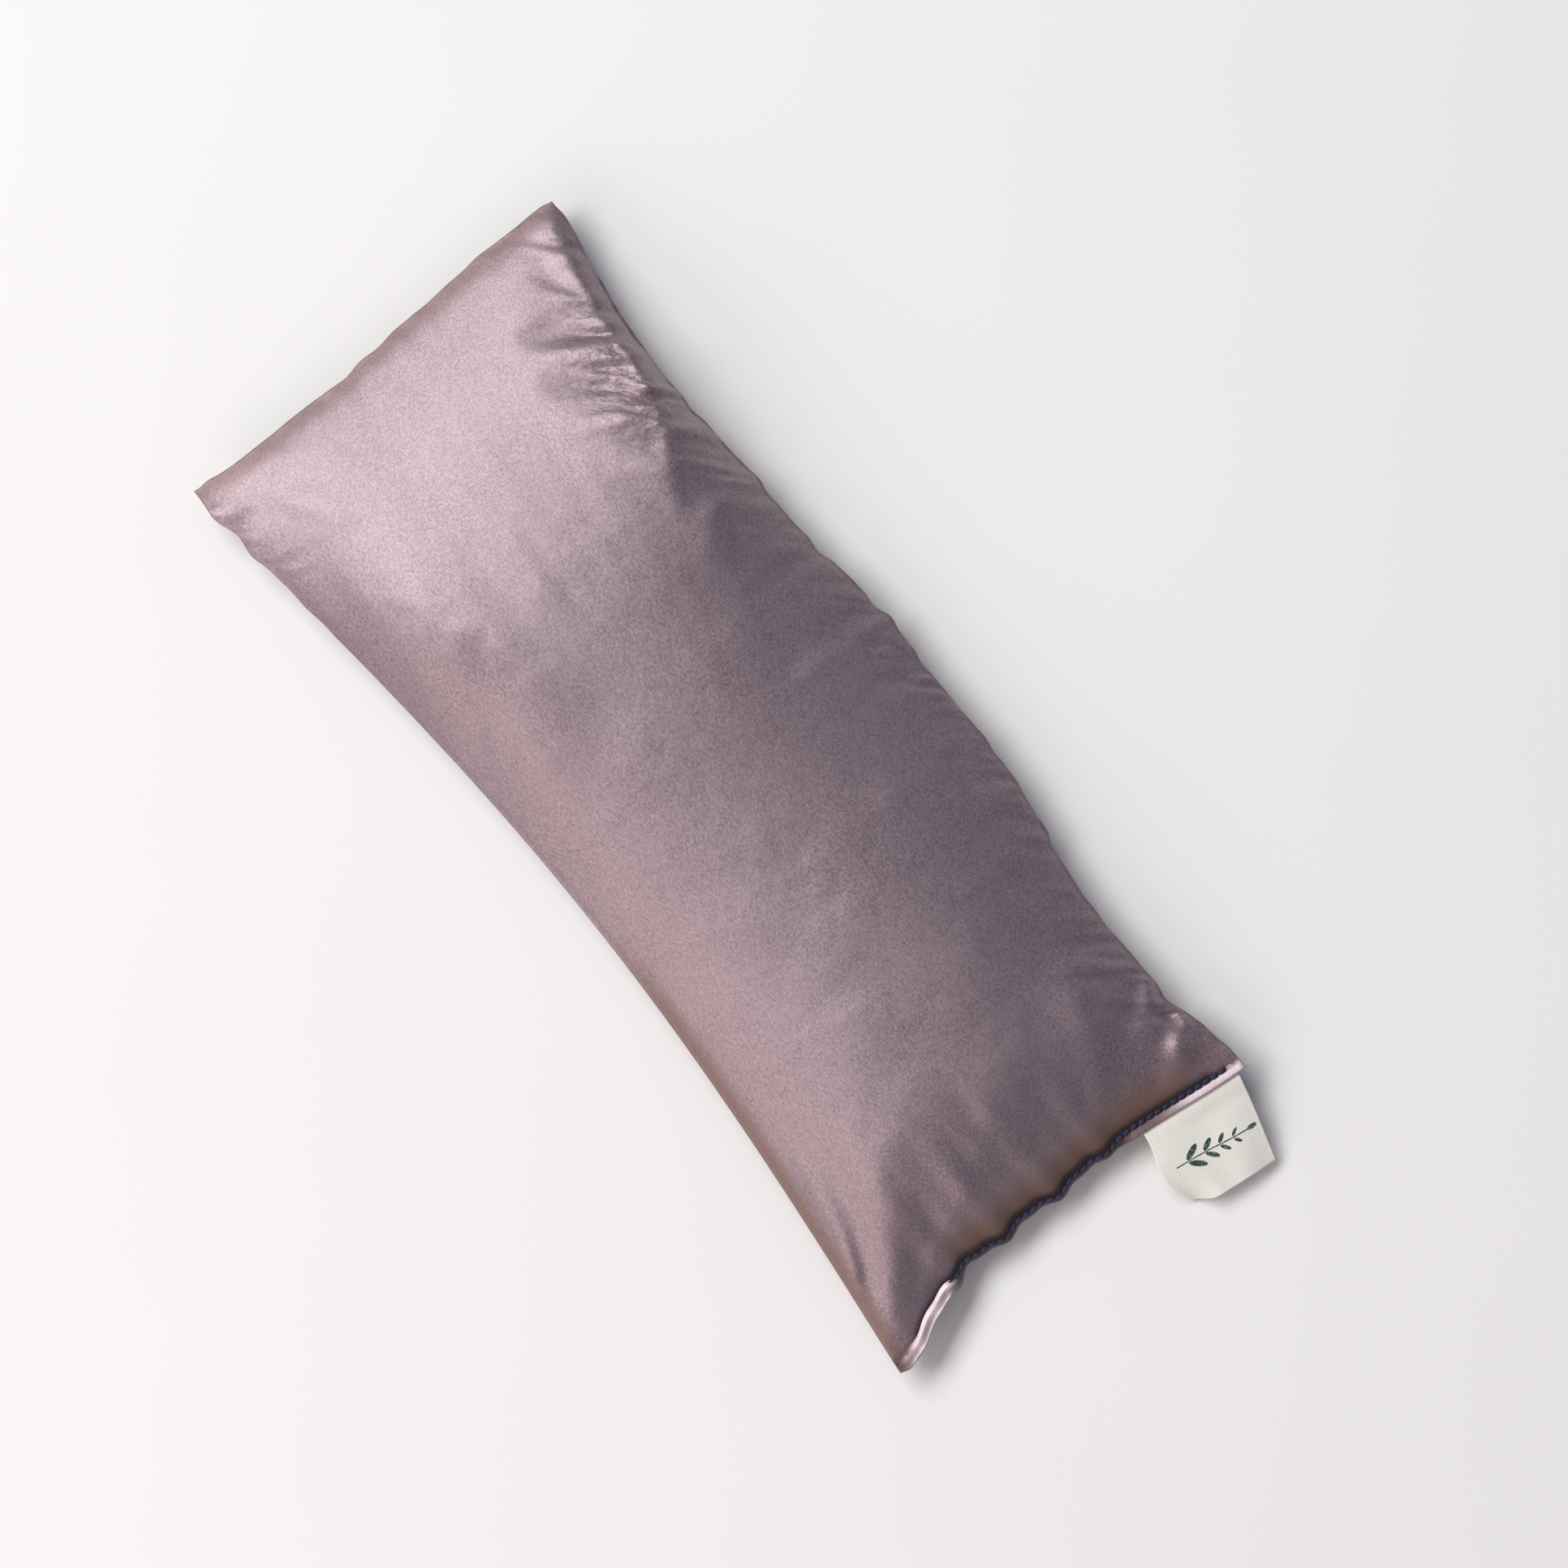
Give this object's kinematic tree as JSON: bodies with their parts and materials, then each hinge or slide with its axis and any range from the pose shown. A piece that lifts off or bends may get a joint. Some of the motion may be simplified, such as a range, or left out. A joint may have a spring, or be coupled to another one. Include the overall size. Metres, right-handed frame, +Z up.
{
  "type": "eye pillow",
  "caption": "Weighted silk eye pillow: a flat seed-filled bag with turned seams, an edge-stitched closing hem and a cotton tab label.",
  "frame": {"origin": "centre of the flat face that rests on the table, midway between the short ends and the long edges", "axes": "+X from the far end to the closing hem that holds the label, +Y across to the long edge next to the label, +Z up from the table"},
  "size_m": [0.264, 0.101, 0.0234],
  "materials": {
    "silk": "glossy plant-dyed silk satin, mauve grey",
    "seam_thread": "spun sewing thread, mauve grey",
    "hem_thread": "spun sewing thread, navy",
    "label_cotton": "matt cream cotton tape",
    "muslin": "plain unbleached cotton muslin",
    "flaxseed": "smooth brown seed",
    "lavender": "dry lavender buds"
  },
  "bodies": {
    "pillow": {"cover_top": "silk", "cover_bottom": "silk", "seam_needle_thread": "seam_thread", "seam_bobbin_thread": "seam_thread", "hem_needle_thread": "hem_thread", "hem_bobbin_thread": "hem_thread", "label_tail": "label_cotton", "liner_top": "muslin", "liner_bottom": "muslin", "liner_thread": "muslin", "flaxseed": "flaxseed", "lavender": "lavender"},
    "flap": {"label": "label_cotton"}
  },
  "joints": [
    {"name": "label_bend", "type": "hinge", "parent": "pillow", "child": "flap", "pos_m": [0.11987, 0.036, 0.007], "axis": [-0.1088, -0.9941, 0], "range_deg": [-100, 110], "stiffness_Nm_per_rad": 0.0004}
  ]
}
